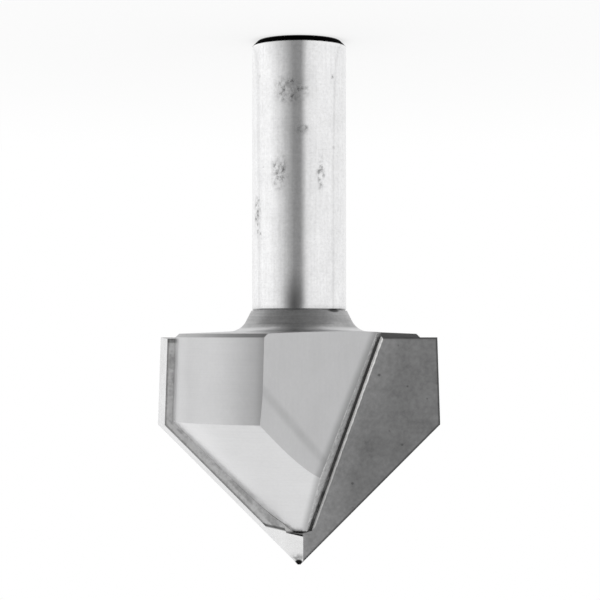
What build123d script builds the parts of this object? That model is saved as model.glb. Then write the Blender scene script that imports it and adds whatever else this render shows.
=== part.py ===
from build123d import *
from math import cos, radians, sin, sqrt, tan
import os

# A two-flute 90 degree V groove router bit with brazed carbide inserts.
# It stands on the flat end of its shank: +Z runs from the shank end to the point.
# One wing holds insert B at +X with its cutting face toward +Y, and the other
# wing is the same shape turned half a turn about the Z axis.

# Shank
shank_diameter = 12.7
shank_length = 36.5
shank_chamfer = 0.8
shoulder_groove_width = 0.25
shoulder_groove_depth = 0.12

# Neck between the shank and the head
neck_ledge = 0.1
neck_length = 2.75
neck_angle = 27.0
neck_edge_radius = 0.15
neck_fillet_radius = 2.5

# Cutting profile, swept by the edges of the inserts
cutting_diameter = 38.1
point_angle = 90.0
side_edge_length = 11.75
side_taper = 1.8

# Turned steel head, which lies inside the cutting profile
body_side_offset = 1.9
body_point_offset = 1.75
head_top_slope = 2.5
head_edge_chamfer = 0.5
insert_setback = 0.45

# Chip gullets
gullet_face_distance = 9.1
gullet_face_turn = 42.0
gullet_wall_draft = 7.0
seat_corner_gap = 0.1
web_end_drop = 4.8
eased_face_drop = 4.5
eased_face_lean = 41.6
eased_face_tilt = 4.0

# Carbide inserts
insert_thickness = 2.8
insert_top_width = 8.0
insert_side_relief = 1.1
insert_point_relief = 0.8
insert_top_relief = 0.2
insert_overlap = 0.55
insert_heel_height = 4.7
insert_nose_height = 4.2
point_blunting = 0.2
point_relief_fall = 32.0
point_relief_turn = 8.3

# Brazing metal
braze_film = 0.1
braze_sink = 0.5
braze_margin = 0.1

# Reach of the cutting tools past the head, so that each cut runs right out
cut_reach = 30.0

# Heights along the axis, from the end of the shank
shank_radius = shank_diameter / 2
cutting_radius = cutting_diameter / 2
neck_radius = shank_radius + neck_ledge
head_base_z = shank_length + neck_length
neck_base_radius = neck_radius + neck_length * tan(radians(neck_angle))
body_radius = cutting_radius - body_side_offset
head_top_z = head_base_z + (body_radius - neck_base_radius) * tan(radians(head_top_slope))
insert_top_z = head_top_z + insert_setback
corner_z = insert_top_z + side_edge_length
half_angle = radians(point_angle / 2)
apex_z = corner_z + cutting_radius / tan(half_angle)
taper = tan(radians(side_taper))


# Lines parallel to the two cutting edges, each moved inward by its own offset
def offset_apex_z(point_offset):
    return apex_z - point_offset / sin(half_angle)


def profile_corner(side_offset, point_offset):
    side_x = cutting_radius - side_offset
    return side_x, offset_apex_z(point_offset) - side_x / tan(half_angle)


def side_radius(side_offset, point_offset, z):
    side_x, bend_z = profile_corner(side_offset, point_offset)
    return side_x - (bend_z - z) * taper


body_corner = profile_corner(body_side_offset, body_point_offset)
body_top_radius = side_radius(body_side_offset, body_point_offset, head_top_z)
rim_radius = body_top_radius - head_edge_chamfer
rim_z = head_base_z + (rim_radius - neck_base_radius) * tan(radians(head_top_slope))
rim_low_z = rim_z + head_edge_chamfer
rim_low_radius = side_radius(body_side_offset, body_point_offset, rim_low_z)

# The inner edge of an insert runs from its top toward the point, and the gullet
# wall beside it follows that line. The draft leans the wall away from the insert.
insert_inner_radius = cutting_radius - insert_top_width
wall_slope = insert_inner_radius / (apex_z - insert_top_z)
draft_slope = tan(radians(gullet_wall_draft)) * sqrt(1 + wall_slope**2)
seat_depth = insert_thickness + braze_film


def insert_inner_x(z):
    return insert_inner_radius - (z - insert_top_z) * wall_slope


def wall_x(z, forward):
    return insert_inner_x(z) - seat_corner_gap - (forward + seat_depth) * draft_slope


# Planes square to a cutting face, for the wing on the given side of the axis
def wing_plane(side, back):
    return Plane(origin=(0, -side * back, 0), x_dir=(side, 0, 0), z_dir=(0, -side, 0))


# The broad flat face of a gullet. Its own x axis runs across the face, away from
# the insert, and its own y axis runs toward the point.
def gullet_plane(side):
    turn = radians(gullet_face_turn)
    normal = (side * sin(turn), side * cos(turn), 0)
    across = (-side * cos(turn), side * sin(turn), 0)
    origin = (normal[0] * gullet_face_distance, normal[1] * gullet_face_distance, corner_z)
    return Plane(origin=origin, x_dir=across, z_dir=normal)


# A second light cut eases the face toward the cone. It meets the face in a
# slanting crease, which starts on the side of the head below the corner.
def eased_plane(side):
    face_reach = sqrt(body_radius**2 - gullet_face_distance**2)
    start = Location((face_reach, -eased_face_drop, 0), (0, 0, 180 - eased_face_lean))
    tilt = Location((0, 0, 0), (eased_face_tilt, 0, 0))
    return Plane(gullet_plane(side).location * start * tilt)


# Steep plane ground on the back of the point, behind the cutting face
def point_relief_plane(side):
    fall = radians(point_relief_fall)
    turn = radians(point_relief_turn)
    normal = (side * cos(fall) * sin(turn), -side * cos(fall) * cos(turn), sin(fall))
    return Plane(origin=(0, 0, apex_z - point_blunting), z_dir=normal)


# The steel blank, turned in one piece before its gullets are milled
with BuildPart() as blank:
    with BuildSketch(Plane.XZ):
        with BuildLine():
            Polyline(
                (0, 0),
                (shank_radius - shank_chamfer, 0),
                (shank_radius, shank_chamfer),
                (shank_radius, shank_length - shoulder_groove_width),
                (shank_radius - shoulder_groove_depth, shank_length),
                (neck_radius, shank_length),
                (neck_base_radius, head_base_z),
                (rim_radius, rim_z),
                (rim_low_radius, rim_low_z),
                body_corner,
                (0, offset_apex_z(body_point_offset)),
                close=True,
            )
        make_face()
    revolve(axis=Axis.Z)
    neck_ring = blank.edges().filter_by(GeomType.CIRCLE).filter_by(
        lambda edge: abs(edge.radius - neck_base_radius) < head_edge_chamfer / 10
    )
    fillet(neck_ring, radius=neck_fillet_radius)
    ledge_ring = blank.edges().filter_by(GeomType.CIRCLE).filter_by(
        lambda edge: abs(edge.radius - neck_radius) < neck_edge_radius / 10
    )
    fillet(ledge_ring, radius=neck_edge_radius)

# The finished steel body, with two gullets and two insert seats
with BuildPart() as steel_body:
    add(blank.part)
    for side in (1, -1):
        for face in (gullet_plane(side), eased_plane(side)):
            with BuildSketch(face):
                Rectangle(2 * cut_reach, 2 * cut_reach)
            extrude(amount=cut_reach, mode=Mode.SUBTRACT)
        for back in (seat_depth, -cut_reach):
            with BuildSketch(wing_plane(side, back)):
                with BuildLine():
                    low_z = corner_z - cut_reach
                    high_z = corner_z + cut_reach
                    Polyline(
                        (wall_x(low_z, -back), low_z),
                        (wall_x(low_z, -back) + 2 * cut_reach, low_z),
                        (wall_x(high_z, -back) + 2 * cut_reach, high_z),
                        (wall_x(high_z, -back), high_z),
                        close=True,
                    )
                make_face()
        loft(ruled=True, mode=Mode.SUBTRACT)
    with BuildSketch(Plane.XY.offset(apex_z - web_end_drop)):
        Circle(cut_reach)
    extrude(amount=cut_reach, mode=Mode.SUBTRACT)
steel_body.part.label = "steel_body"


# Corners of an insert, square to its cutting face. The reliefs move the two
# cutting edges inward, and the edge along the gullet stays where it is.
def insert_corners(side_relief, point_relief, top_relief):
    top_z = insert_top_z + top_relief
    tip_z = offset_apex_z(point_relief)
    nose_z = tip_z - insert_overlap / tan(half_angle)
    heel_z = apex_z - insert_heel_height
    return [
        (insert_inner_x(top_z), top_z),
        (side_radius(side_relief, point_relief, top_z), top_z),
        profile_corner(side_relief, point_relief),
        (0, tip_z),
        (-insert_overlap, nose_z),
        (-insert_overlap, apex_z - insert_nose_height),
        (insert_inner_x(heel_z), heel_z),
    ]


inserts = {}
for letter, side in (("a", -1), ("b", 1)):
    with BuildPart() as insert:
        with BuildSketch(wing_plane(side, 0)):
            with BuildLine():
                Polyline(*insert_corners(0, 0, 0), close=True)
            make_face()
        with BuildSketch(wing_plane(side, insert_thickness)):
            with BuildLine():
                back_corners = insert_corners(
                    insert_side_relief, insert_point_relief, insert_top_relief
                )
                Polyline(*back_corners, close=True)
            make_face()
        loft(ruled=True)
        split(bisect_by=point_relief_plane(side), keep=Keep.BOTTOM)
    insert.part.label = "carbide_insert_" + letter
    inserts[letter] = insert

# Brazing metal: a film on the seat, and a bead along the foot of the gullet wall.
# Each seam fills what the steel and the insert leave free inside the turned shape.
seams = {}
for letter, side in (("a", -1), ("b", 1)):
    with BuildPart() as seam:
        with BuildSketch(wing_plane(side, seat_depth)):
            with BuildLine():
                seam_low_z = insert_top_z + insert_top_relief + braze_margin
                seam_high_z = apex_z - insert_heel_height
                Polyline(
                    (wall_x(seam_low_z, 0), seam_low_z),
                    (body_radius, seam_low_z),
                    (body_radius, seam_high_z),
                    (wall_x(seam_high_z, 0), seam_high_z),
                    close=True,
                )
            make_face()
        extrude(amount=braze_sink - seat_depth)
        add(blank.part, mode=Mode.INTERSECT)
        add(steel_body.part, mode=Mode.SUBTRACT)
        add(inserts[letter].part, mode=Mode.SUBTRACT)
    seam.part.label = "braze_seam_" + letter
    seams[letter] = seam

os.makedirs("parts", exist_ok=True)
export_step(steel_body.part, "parts/steel_body.step")
for letter in ("a", "b"):
    export_step(inserts[letter].part, "parts/carbide_insert_" + letter + ".step")
    export_step(seams[letter].part, "parts/braze_seam_" + letter + ".step")
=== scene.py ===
"""Looks of a two-flute V groove router bit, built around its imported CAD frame.

The frame is in metres and the bit stands on the end of its shank: +Z runs to the point.
Insert A is at -X with its cutting face toward -Y, and insert B is its half-turn copy.
"""

import math

import bpy
import numpy as np
from bpy.props import FloatProperty, FloatVectorProperty, PointerProperty
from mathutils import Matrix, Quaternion, Vector


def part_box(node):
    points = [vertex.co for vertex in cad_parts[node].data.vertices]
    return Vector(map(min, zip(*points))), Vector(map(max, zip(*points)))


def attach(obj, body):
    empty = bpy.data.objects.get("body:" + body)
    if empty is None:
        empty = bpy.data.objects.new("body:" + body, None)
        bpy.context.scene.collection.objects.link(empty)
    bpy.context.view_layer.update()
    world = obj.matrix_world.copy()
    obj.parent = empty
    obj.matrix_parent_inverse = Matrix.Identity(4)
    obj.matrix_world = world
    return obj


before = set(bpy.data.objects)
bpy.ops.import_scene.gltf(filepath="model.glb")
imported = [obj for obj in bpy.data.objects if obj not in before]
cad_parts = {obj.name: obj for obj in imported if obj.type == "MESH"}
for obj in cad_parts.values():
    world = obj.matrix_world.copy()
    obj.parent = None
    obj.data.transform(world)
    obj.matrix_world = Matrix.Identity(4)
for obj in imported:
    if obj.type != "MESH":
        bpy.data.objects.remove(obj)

bl_info = {
    "name": "V groove router bit",
    "version": (1, 0, 0),
    "blender": (4, 5, 0),
    "location": "View3D > Sidebar > Router bit",
    "description": "Finishes, braze beads and studio for a V groove router bit",
    "category": "Object",
}

BODY = "root"
MM = 0.001

# Places that come from the frame
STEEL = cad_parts["steel_body"]
INSERT_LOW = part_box("carbide_insert_a")[0]
CUTTING_RADIUS = -INSERT_LOW.x
INSERT_TOP_Z = INSERT_LOW.z

# Places that the frame's boxes don't give, as in the CAD source
SHANK_RADIUS = 6.35 * MM
SHANK_LENGTH = 36.5 * MM
SHANK_CHAMFER = 0.8 * MM
NECK_LENGTH = 2.75 * MM
SIDE_EDGE_LENGTH = 11.75 * MM
SIDE_TAPER = math.tan(math.radians(1.8))
INSERT_TOP_WIDTH = 8.0 * MM
INSERT_HEEL_HEIGHT = 4.7 * MM
INSERT_NOSE_HEIGHT = 4.2 * MM
INSERT_OVERLAP = 0.55 * MM
WEB_END_DROP = 4.8 * MM
INSERT_SIDE_RELIEF = 1.1 * MM
INSERT_POINT_RELIEF = 0.8 * MM
BODY_SIDE_OFFSET = 1.9 * MM
BODY_POINT_OFFSET = 1.75 * MM
INSERT_THICKNESS = 2.8 * MM
POINT_BLUNTING = 0.2 * MM
POINT_RELIEF_FALL = math.radians(32.0)
POINT_RELIEF_TURN = math.radians(8.3)
SEAT_DEPTH = 2.9 * MM
SEAT_CORNER_GAP = 0.1 * MM
GULLET_FACE_DISTANCE = 9.1 * MM
GULLET_FACE_TURN = math.radians(42.0)
GULLET_WALL_DRAFT = math.radians(7.0)
EASED_FACE_DROP = 4.5 * MM
EASED_FACE_LEAN = math.radians(41.6)

# The point has a right angle, so its apex is one cutting radius past the corner.
CORNER_Z = INSERT_TOP_Z + SIDE_EDGE_LENGTH
APEX_Z = CORNER_Z + CUTTING_RADIUS
INNER_TOP_RADIUS = CUTTING_RADIUS - INSERT_TOP_WIDTH
INNER_SLOPE = INNER_TOP_RADIUS / (APEX_Z - INSERT_TOP_Z)
WALL_DRAFT_SLOPE = math.tan(GULLET_WALL_DRAFT) * math.sqrt(1 + INNER_SLOPE**2)
HEAD_BASE_Z = SHANK_LENGTH + NECK_LENGTH
HEEL_Z = APEX_Z - INSERT_HEEL_HEIGHT
NOSE_Z = APEX_Z - INSERT_NOSE_HEIGHT
WEB_END_Z = APEX_Z - WEB_END_DROP
BODY_RADIUS = CUTTING_RADIUS - BODY_SIDE_OFFSET

# The way the gullet face of the +X wing looks, and the way across it, away from its insert
GULLET_FACE_NORMAL = (math.sin(GULLET_FACE_TURN), math.cos(GULLET_FACE_TURN), 0.0)
GULLET_FACE_ACROSS = (-math.cos(GULLET_FACE_TURN), math.sin(GULLET_FACE_TURN), 0.0)

# Where the photograph shows stains and pits on the shank. Each has the way it faces,
# in degrees from the camera toward +X, its height, and its half width and half height.
SHANK_STAINS = (
    (11.0, 7.3 * MM, 2.6 * MM, 2.0 * MM),
    (24.0, 18.2 * MM, 1.4 * MM, 2.5 * MM),
    (-27.0, 18.4 * MM, 0.7 * MM, 2.6 * MM),
    (62.0, 23.6 * MM, 1.0 * MM, 3.0 * MM),
    (-4.0, 12.6 * MM, 0.9 * MM, 0.8 * MM),
)

# A grey mark on the shank beside the neck, heat tint deepened by painted shade under the head, and a black
# one
HEAT_AND_SHADE_MARK = (6.5, 36.0 * MM, 2.1 * MM, 6.0 * MM)
BLACK_MARK = (-46.0, 36.53 * MM, 1.15 * MM, 0.27 * MM)

# Dark spots on a cutting face: distance out from the axis, height and radius in
# millimetres, and strength
FACE_SPOTS = ((10.8, 45.2, 0.22, 0.5), (7.2, 59.8, 0.2, 0.4), (13.9, 54.6, 0.18, 0.35))

# Heights in millimetres between which a change along the axis comes in smoothly. Where the
# first is the higher it fades out upward, and four heights are a start and an end.
CHAMFER_FADE = (SHANK_CHAMFER / MM, SHANK_CHAMFER / MM - 0.08)
SHANK_RIM_HIGHLIGHT = (0.75, 0.9, 1.0, 1.5)
HEAT_AND_SHADE_RING = (35.6, 36.25)
SHANK_END = (SHANK_LENGTH / MM - 0.3, SHANK_LENGTH / MM)
NECK_START = (SHANK_LENGTH / MM - 0.27, SHANK_LENGTH / MM - 0.2)
HEAD_START = (HEAD_BASE_Z / MM - 0.65, HEAD_BASE_Z / MM - 0.15)
ARRIS_HIGHLIGHTS = (39.0, 40.0, 63.0, 65.0)
ARRIS_SHADE_END = (52.0, 51.0)
WEB_END_SHADE = (65.9, 66.05)
TOP_PATCH = (INSERT_TOP_Z / MM + 0.9, INSERT_TOP_Z / MM + 0.6)
UNGROUND_END = (60.0, 50.0)
FACE_PALING = (58.0, 67.0)
BEAD_DULLING = (44.0, 60.0)
FILL_SHADE = (65.8, 66.1)
GROOVE_BARING = (54.0, 59.0)

# Distances from the axis where the chamfer at the end of the shank begins and where the one
# round the top of the head does, both painted dark as reflections, and how far the soot and
# painted shade reach from the wall, in millimetres
CHAMFER_RADII = (5.2, 5.5)
TOP_CHAMFER_RADII = (14.0, 14.5)
SOOT_AND_SHADE_REACH = 1.1

# Cloudy tones: coarse noise per millimetre and its depth, then the same for the fine noise
MOTTLES = {
    "shank": (0.4, 0.045, 2.4, 0.07),
    "neck": (0.4, 0.14, 3.0, 0.12),
    "head": (0.16, 0.035, 2.4, 0.022),
    "wall": (0.5, 0.08, 2.0, 0.10),
    "cutting_face": (0.3, 0.15, 1.6, 0.17),
    "back": (0.7, 0.13, 3.0, 0.14),
    "ground": (0.25, 0.05, 1.6, 0.04),
    "braze": (0.9, 0.10, 5.0, 0.16),
}

# Lines left by tools: noise per millimetre along X, Y and Z, and how deep their tone is
TOOL_MARKS = {
    "rings": ((0.25, 0.25, 11.0), 0.03),
    "streaks": ((3.0, 3.0, 0.12), 0.05),
    "neck": ((0.1, 0.1, 5.0), 0.22),
    "turned": ((0.08, 0.08, 6.0), 0.022),
    "milled": ((2.2, 2.2, 0.25), 0.018),
    "wall": ((1.1, 0.10, 1.5), 0.30),
    "ground": ((0.25, 1.0, 4.0), 0.045),
}

# Pits and drops: cells per millimetre, radius in cells, and the share of cells that have one
PITS = {
    "specks": (1.5, 0.56, 1.0),
    "lone_pits": (0.42, 0.13, 0.22),
    "drops": (0.6, 0.26, 0.5),
    "pores": (0.8, 0.16, 0.3),
}

# Marks painted over a finish: the grey of each, and how much of it covers the finish. None
# stands for another colour given to paint: the black used for painted shade, painted dark
# reflections and soot, and the colour of the groove.
MARKS = {
    "stain": (0.13, 1.0),
    "heat_and_shade": (0.10, 1.0),
    "shank_rim_highlight": (0.97, 0.6),
    "black_mark": (None, 0.85),
    "arris_highlight": (0.9, 0.5),
    "arris": (None, 0.17),
    "crease": (None, 1.0),
    "top_chamfer": (None, 0.35),
    "web_end": (None, 0.75),
    "soot_and_shade": (None, 0.42),
    "seat": (0.22, 1.0),
    "face_outline": (0.03, 0.66),
    "pore": (0.05, 0.55),
    "face_spot": (0.01, 1.0),
    "insert_edge": (0.10, 0.55),
    "unground": (0.08, 0.75),
    "facet_line": (0.04, 0.72),
    "dull_tip": (0.16, 0.75),
    "burnt_tip": (0.01, 1.0),
    "dull_bead": (0.30, 0.45),
    "fill_shade": (None, 0.7),
    "bared_groove": (0.45, 0.6),
}

# Drops of brazing metal on the wall of a gullet
DROP_COLOUR = (0.95, 0.95, 0.94)

# Rings along a fill of brazing metal, and points round each of them
FILL_STEPS = 24
FILL_SIDES = 24

# The light tent: how bright its wall is, by the way it lies from the bit in degrees from
# the camera toward +X. The floor is the same seen at a slant, and has its own levels seen
# from above, where its cloth lies just above the real floor. Then the roof, and the shade
# under the shank.
TENT_RADIUS = 0.45
TENT_HEIGHT = 0.42
CLOTH_LIFT = 0.1 * MM
SHADE_RADIUS = 0.0075
TENT_LEVELS = (
    (-180.0, 0.78), (-166.0, 0.90), (-97.0, 0.90), (-92.0, 0.72), (-87.0, 0.90), (-50.0, 0.90),
    (-33.0, 0.87), (-18.0, 0.80), (-10.0, 0.50), (-4.0, 0.26), (12.0, 0.26), (20.0, 0.37),
    (30.0, 0.50), (45.0, 0.70), (60.0, 0.87), (76.0, 1.0), (104.0, 1.0), (115.0, 0.86),
    (126.0, 1.0), (150.0, 0.96), (166.0, 0.94), (180.0, 0.78),
)
FLOOR_LEVELS = (
    (-180.0, 1.0), (-107.0, 1.0), (-84.0, 0.54), (-61.0, 0.50), (-39.0, 0.38), (-20.0, 0.27),
    (56.0, 0.28), (79.0, 0.41), (101.0, 0.66), (126.0, 1.0), (180.0, 1.0),
)
ROOF_LEVEL = 0.86
CONTACT_LEVEL = 0.02

# How white the floor is seen in the bit's shadow, and between which distances from the axis
# it turns fully white
SHADOW_WHITENESS = 0.72
SHADOW_FADE = (0.03, 0.16)

# How far the camera stands to the side of the axis
CAMERA_SHIFT = -0.12 * MM


# Sizes and colours that a user would change

def tint(name, description, value):
    """A neutral or tinted colour property, given as its three linear parts."""
    return FloatVectorProperty(
        name=name, description=description, default=value, size=3, subtype="COLOR", min=0.0, max=1.0
    )


def share(name, description, value):
    """A number from nought to one."""
    return FloatProperty(
        name=name, description=description, default=value, min=0.0, max=1.0, subtype="FACTOR"
    )


def length(name, description, value):
    """A length in metres."""
    return FloatProperty(name=name, description=description, default=value, min=0.0, unit="LENGTH")


class SteelFinish(bpy.types.PropertyGroup):
    """Colours and roughness of the steel body."""

    shank: tint("Shank", "Colour of the ground shank", (0.90, 0.90, 0.905))
    # The neck's grey is darker than the head's: heat tint, and a painted dark reflection.
    neck: tint("Neck", "Colour of the heat-darkened neck", (0.38, 0.38, 0.382))
    turned: tint("Turned side", "Colour of the turned side of the head", (0.64, 0.64, 0.645))
    # The cone is turned steel like the side, painted lighter as light falling from above.
    cone: tint("Cone", "Colour of the turned cone behind the edges", (0.79, 0.79, 0.795))
    milled: tint("Milled face", "Colour of the milled gullet faces", (0.57, 0.57, 0.575))
    wall: tint("Gullet wall", "Colour of the gullet wall beside an insert", (0.70, 0.70, 0.70))
    # Black for painted shade, painted dark reflections on the chamfers, soot and a black mark by the neck
    black: tint("Blackened edge", "Colour of the chamfer, soot and shaded arrises", (0.012, 0.012, 0.012))
    shank_roughness: share("Shank roughness", "Roughness of the ground shank", 0.17)
    head_roughness: share("Head roughness", "Roughness of the turned and milled head", 0.34)


class CarbideFinish(bpy.types.PropertyGroup):
    """Colours and roughness of the inserts."""

    face: tint("Cutting face", "Colour of the cutting faces", (0.37, 0.37, 0.372))
    back: tint("Back", "Colour of the backs of the inserts", (0.98, 0.98, 0.98))
    ground: tint("Ground relief", "Colour of the ground relief behind the edges", (0.78, 0.78, 0.785))
    point: tint("Point relief", "Colour of the facets ground at the point", (0.90, 0.90, 0.90))
    roughness: share("Roughness", "Roughness of the cutting faces", 0.40)


class BrazeFinish(bpy.types.PropertyGroup):
    """Colours of the brazing metal and sizes of its bead."""

    groove: tint("Groove", "Colour of the blackened metal in the groove", (0.14, 0.14, 0.14))
    silver: tint("Silver", "Colour of bare brazing metal", (0.95, 0.945, 0.935))
    bead_width: length("Bead width", "Width of the bead at the top of an insert", 0.44 * MM)
    bead_height: length("Bead height", "How far the bead stands on the cutting face", 0.13 * MM)


class Studio(bpy.types.PropertyGroup):
    """Camera, lamp and floor."""

    camera_distance: length("Camera distance", "From the camera to the axis of the bit", 0.260)
    camera_height: length("Camera height", "Height of the camera above the floor", 0.04019)
    aim_height: length("Aim height", "Height on the axis that the camera looks at", 0.03506)
    lens: FloatProperty(
        name="Lens", description="Focal length of the camera in mm", default=115.44, unit="CAMERA"
    )
    floor: tint("Floor", "Colour of the floor", (0.9, 0.9, 0.9))
    top_lamp: FloatProperty(
        name="Top lamp", description="Power of the soft lamp above", default=0.05, unit="POWER"
    )


# Shader building

def plug(tree, socket, value):
    """Links a socket to the value where that is a socket too, and sets it otherwise."""
    if isinstance(value, bpy.types.NodeSocket):
        tree.links.new(value, socket)
    else:
        socket.default_value = value


def node(tree, kind, inputs=None, **settings):
    """Adds one node. A socket given as an input is linked, and anything else is set."""
    made = tree.nodes.new("ShaderNode" + kind)
    for name, value in settings.items():
        setattr(made, name, value)
    for key, value in (inputs or {}).items():
        plug(tree, made.inputs[key], value)
    return made


def calc(tree, operation, *values, clamp=False):
    """The result of one Math node."""
    return node(
        tree, "Math", dict(enumerate(values)), operation=operation, use_clamp=clamp
    ).outputs[0]


def combine(tree, operation, values):
    """Works through some values with one operation, from the first to the last."""
    result = values[0]
    for value in values[1:]:
        result = calc(tree, operation, result, value)
    return result


def product(tree, *values):
    """The product of some values."""
    return combine(tree, "MULTIPLY", values)


def highest(tree, *values):
    """The greatest of some values."""
    return combine(tree, "MAXIMUM", values)


def outside_of(tree, mask):
    """One less a mask."""
    return calc(tree, "SUBTRACT", 1.0, mask)


def vector(tree, operation, *values):
    """The first result of one Vector Math node."""
    made = node(tree, "VectorMath", dict(enumerate(values)), operation=operation)
    return made.outputs["Value" if operation in {"DOT_PRODUCT", "LENGTH", "DISTANCE"} else "Vector"]


def split(tree, value):
    """The X, Y and Z parts of a vector."""
    return node(tree, "SeparateXYZ", {0: value}).outputs


def rise(tree, value, low, high):
    """Nought below low, one above high and smooth between. It falls where low is above high."""
    ends = (low, high, 0.0, 1.0) if low < high else (high, low, 1.0, 0.0)
    return node(
        tree, "MapRange",
        {"Value": value, "From Min": ends[0], "From Max": ends[1], "To Min": ends[2], "To Max": ends[3]},
        interpolation_type="SMOOTHSTEP",
    ).outputs[0]


def band(tree, value, low, full_from, full_to, high):
    """One between the two middle limits, falling smoothly to nought at the outer ones."""
    return product(tree, rise(tree, value, low, full_from), rise(tree, value, high, full_to))


def rgba(colour):
    """A colour with its alpha of one, from three parts or a single grey."""
    parts = (colour,) * 3 if isinstance(colour, (int, float)) else tuple(colour)[:3]
    return (*parts, 1.0)


def mix(tree, factor, first, second):
    """The first colour at factor nought, and the second at one."""
    made = node(tree, "Mix", {"Factor": factor}, data_type="RGBA")
    for key, value in ((6, first), (7, second)):
        linked = isinstance(value, bpy.types.NodeSocket)
        plug(tree, made.inputs[key], value if linked else rgba(value))
    return made.outputs[2]


def mix_value(tree, factor, first, second):
    """The first number at factor nought, and the second at one."""
    return node(tree, "Mix", {"Factor": factor, "A": first, "B": second}, data_type="FLOAT").outputs[0]


def paint(tree, colour, mask, name, over=None):
    """A colour with one of the MARKS over it where the mask is, in its own grey or another colour."""
    grey, strength = MARKS[name]
    return mix(tree, product(tree, mask, strength), colour, grey if over is None else over)


def noise(tree, position, scale, detail=2.0, rough=0.5):
    """Smooth noise between nought and one, with its mean near a half."""
    return node(
        tree, "TexNoise",
        {"Vector": position, "Scale": scale, "Detail": detail, "Roughness": rough},
    ).outputs[0]


def toned(tree, colour, *tones):
    """A colour, as a socket or in three parts, multiplied by each of some tones."""
    scaled = colour if isinstance(colour, bpy.types.NodeSocket) else tuple(colour)
    for tone in tones:
        scaled = node(tree, "VectorMath", {0: scaled, "Scale": tone}, operation="SCALE").outputs["Vector"]
    return scaled


# Shared effects

def new_group(name, inputs, outputs):
    """An empty node group with named sockets. Gives its tree, its inputs and its output node."""
    tree = bpy.data.node_groups.new(name, "ShaderNodeTree")
    for label, kind, value in inputs:
        socket = tree.interface.new_socket(label, in_out="INPUT", socket_type="NodeSocket" + kind)
        if value is not None:
            socket.default_value = value
    for label, kind in outputs:
        tree.interface.new_socket(label, in_out="OUTPUT", socket_type="NodeSocket" + kind)
    return tree, tree.nodes.new("NodeGroupInput").outputs, tree.nodes.new("NodeGroupOutput").inputs


def make_mottle_group():
    """Cloudy change of tone: a coarse noise and a fine one, each with its own depth."""
    tree, given, out = new_group(
        "mottle",
        [("Position", "Vector", None), ("Coarse Scale", "Float", 0.2), ("Coarse Depth", "Float", 0.05),
         ("Fine Scale", "Float", 2.5), ("Fine Depth", "Float", 0.05)],
        [("Tone", "Float")],
    )
    coarse = noise(tree, given["Position"], given["Coarse Scale"], 2.0)
    fine = noise(tree, given["Position"], given["Fine Scale"], 3.0, 0.6)
    parts = []
    for value, depth in ((coarse, given["Coarse Depth"]), (fine, given["Fine Depth"])):
        parts.append(product(tree, calc(tree, "MULTIPLY_ADD", value, 4.0, -2.0), depth))
    tree.links.new(calc(tree, "ADD", calc(tree, "ADD", *parts), 1.0), out["Tone"])


def make_tool_marks_group():
    """Fine parallel lines: noise drawn out along one direction, as a tone and as a height."""
    tree, given, out = new_group(
        "tool_marks",
        [("Position", "Vector", None), ("Stretch", "Vector", (0.3, 0.3, 9.0)), ("Depth", "Float", 0.05)],
        [("Tone", "Float"), ("Height", "Float")],
    )
    lines = noise(tree, vector(tree, "MULTIPLY", given["Position"], given["Stretch"]), 1.0, 3.0, 0.7)
    centred = calc(tree, "MULTIPLY_ADD", lines, 4.0, -2.0)
    tree.links.new(calc(tree, "MULTIPLY_ADD", centred, given["Depth"], 1.0), out["Tone"])
    tree.links.new(lines, out["Height"])


def make_pits_group():
    """Small scattered pits: the middles of Voronoi cells, a share of them kept by chance.

    A noise makes their edges ragged.
    """
    tree, given, out = new_group(
        "pits",
        [("Position", "Vector", None), ("Per Millimetre", "Float", 1.2), ("Radius", "Float", 0.16),
         ("Share", "Float", 0.4)],
        [("Mask", "Float")],
    )
    cells = node(
        tree, "TexVoronoi", {"Vector": given["Position"], "Scale": given["Per Millimetre"]}
    ).outputs
    chance = node(tree, "SeparateColor", {0: cells["Color"]}).outputs[0]
    kept = calc(tree, "LESS_THAN", chance, given["Share"])
    edge = product(tree, noise(tree, given["Position"], 5.0, 2.0), given["Radius"], 2.0)
    inside = calc(tree, "SUBTRACT", edge, cells["Distance"])
    depth = calc(tree, "DIVIDE", inside, given["Radius"], clamp=True)
    tree.links.new(product(tree, depth, kept), out["Mask"])


def make_worn_edges_group():
    """Softened edges: the normal of a rounded edge, and a mask of where it leaves the flat one."""
    tree, given, out = new_group(
        "worn_edges",
        [("Radius", "Float", 0.0001), ("Position", "Vector", None), ("Patchiness", "Float", 0.5)],
        [("Normal", "Vector"), ("Mask", "Float")],
    )
    rounded = node(tree, "Bevel", {"Radius": given["Radius"]}, samples=6).outputs[0]
    flat = node(tree, "NewGeometry").outputs["True Normal"]
    bend = outside_of(tree, vector(tree, "DOT_PRODUCT", rounded, flat))
    bend = calc(tree, "MULTIPLY", bend, 6.0, clamp=True)
    patches = rise(tree, noise(tree, given["Position"], 1.6, 3.0, 0.6), 0.35, 0.6)
    kept = outside_of(tree, product(tree, given["Patchiness"], patches))
    tree.links.new(rounded, out["Normal"])
    tree.links.new(product(tree, bend, kept), out["Mask"])


def make_groups():
    """Makes the shared effects once."""
    makers = {
        "mottle": make_mottle_group,
        "tool_marks": make_tool_marks_group,
        "pits": make_pits_group,
        "worn_edges": make_worn_edges_group,
    }
    for name, make in makers.items():
        if name not in bpy.data.node_groups:
            make()


def use_group(tree, name, **inputs):
    """Places a group in a tree. A keyword's underscore stands for the space in a socket's name."""
    made = tree.nodes.new("ShaderNodeGroup")
    made.node_tree = bpy.data.node_groups[name]
    for key, value in inputs.items():
        plug(tree, made.inputs[key.replace("_", " ")], value)
    return made.outputs


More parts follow.
